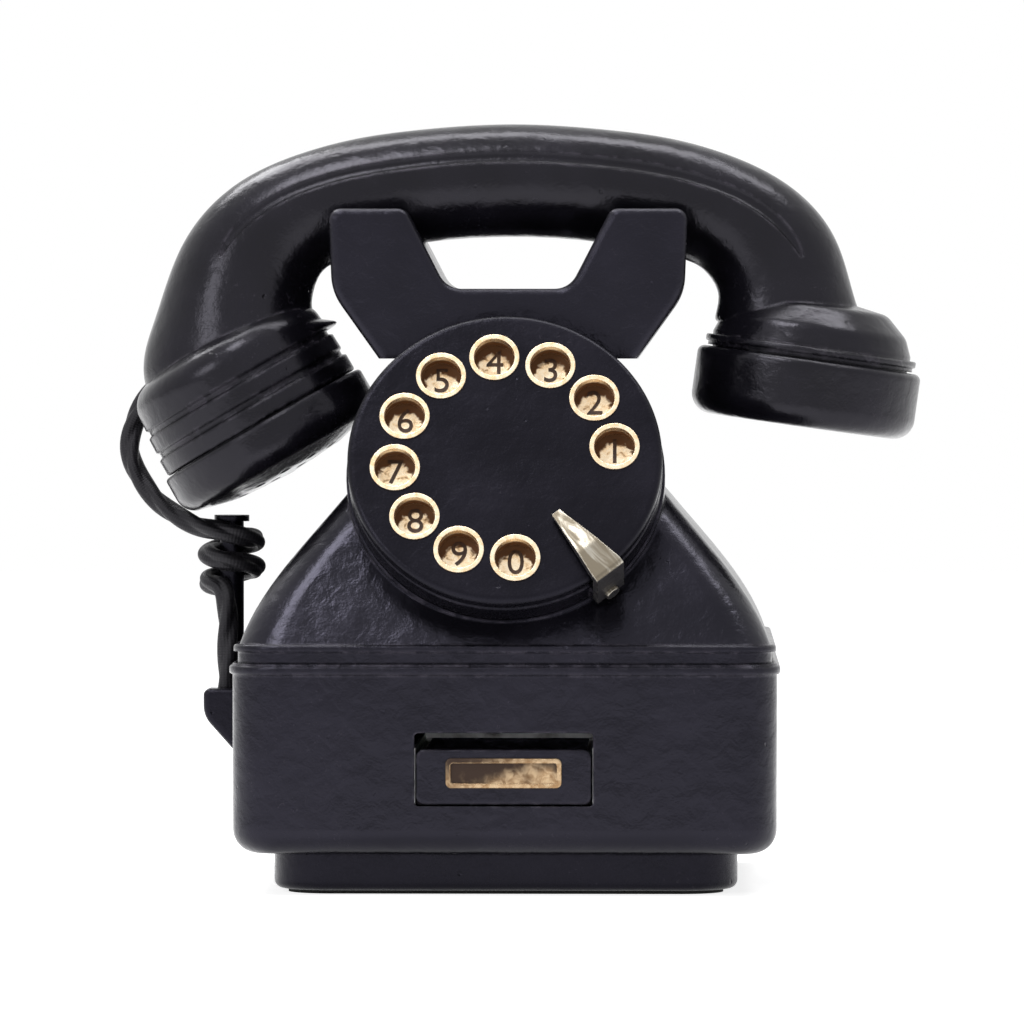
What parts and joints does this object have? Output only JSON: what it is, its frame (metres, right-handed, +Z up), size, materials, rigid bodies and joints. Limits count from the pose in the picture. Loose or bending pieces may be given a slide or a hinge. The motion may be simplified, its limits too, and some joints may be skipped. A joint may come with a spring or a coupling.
{
  "type": "rotary dial desk telephone",
  "caption": "Black desk telephone with a tilted rotary dial, an arched handset on a high forked cradle and a small drawer in the base.",
  "frame": {"origin": "centre of the felt face that the telephone stands on", "axes": "+Z up, -Y out of the front with the dial, +X towards the earpiece end of the handset"},
  "size_m": [0.2332, 0.1653, 0.2183],
  "materials": {
    "black_body": "semi-gloss black moulding, worn",
    "black_enamel": "semi-gloss black enamel, worn",
    "antique_gold": "antique gold with brown patina",
    "silver": "worn bright plating",
    "cord_fabric": "braided black cotton over twisted cores",
    "black_rubber": "matt black rubber",
    "felt": "dark wool felt",
    "steel": "plain bright steel",
    "brass": "plain brass",
    "nickel_silver": "spring metal",
    "capsule_metal": "plain drawn can",
    "insulation": "brown paper laminate"
  },
  "bodies": {
    "case": {"plinth": "black_body", "lower_case": "black_body", "upper_case": "black_body", "dial_case": "black_enamel", "cord_peg": "black_enamel", "case_cord_scoop": "black_enamel", "number_plate": "antique_gold", "finger_stop": "silver", "finger_stop_screw": "silver", "handset_cord_upper": "cord_fabric", "handset_cord_turns": "cord_fabric", "handset_cord_lower": "cord_fabric", "line_cord_grommet": "black_rubber", "base_felt": "felt", "base_screws": "steel", "dial_screws": "steel", "dial_rear_plate": "steel", "dial_return_spring": "steel", "cradle_spring": "steel", "peg_screws": "steel", "drawer_channel": "steel", "chassis_plate": "steel", "chassis_screws": "steel", "gong_posts": "steel", "gong_nuts": "steel", "ringer_yoke": "steel", "clapper_pin": "steel", "switch_bracket": "steel", "terminal_screws": "steel", "stem_bush": "brass", "gong_left": "brass", "gong_right": "brass", "switch_springs": "nickel_silver", "capacitor": "capsule_metal", "switch_insulators": "insulation", "terminal_strip": "insulation", "induction_coil": "insulation", "ringer_coils": "insulation", "pulse_contacts": "insulation"},
    "dial": {"finger_wheel": "black_enamel", "finger_hole_rims": "antique_gold", "dial_shaft": "steel", "dial_main_gear": "brass"},
    "governor": {"governor_pinion": "steel", "governor_weights": "steel"},
    "cradle_fork": {"cradle": "black_body", "cradle_stem": "steel"},
    "handset": {"handset_grip": "black_body", "mouthpiece_cap": "black_body", "earpiece_cap": "black_body", "transmitter": "capsule_metal", "receiver": "capsule_metal", "handset_cord_gland": "black_rubber"},
    "drawer_box": {"drawer": "black_body", "drawer_pull": "antique_gold"},
    "striker": {"clapper": "steel"}
  },
  "joints": [
    {"name": "dial_turn", "type": "hinge", "parent": "case", "child": "dial", "pos_m": [0, -0.0525, 0.1172], "axis": [0, 0.9063, -0.4226], "range_deg": [0, 324], "stiffness_Nm_per_rad": 0.02, "springref_deg": -85.94},
    {"name": "governor_spin", "type": "hinge", "parent": "case", "child": "governor", "pos_m": [-0.0171, -0.05513, 0.11156], "axis": [0, 0.9063, -0.4226], "range_deg": [-1081, 1]},
    {"name": "handset_lift", "type": "slide", "parent": "case", "child": "handset", "axis": [0, 0, 1], "range_m": [0, 0.08], "deforming": ["handset_cord_upper"]},
    {"name": "cradle_rise", "type": "slide", "parent": "case", "child": "cradle_fork", "axis": [0, 0, 1], "range_m": [0, 0.005], "deforming": ["cradle_spring"]},
    {"name": "drawer_slide", "type": "slide", "parent": "case", "child": "drawer_box", "axis": [0, -1, 0], "range_m": [0, 0.06]},
    {"name": "clapper_swing", "type": "hinge", "parent": "case", "child": "striker", "pos_m": [0, 0.009, 0.06], "axis": [0, 0, 1], "range_deg": [-3.3, 3.3]}
  ],
  "couplings": [
    {"joint": "governor_spin", "follows": "dial_turn", "ratio": -3.3333},
    {"joint": "cradle_rise", "follows": "handset_lift", "ratio": 0.0625}
  ]
}
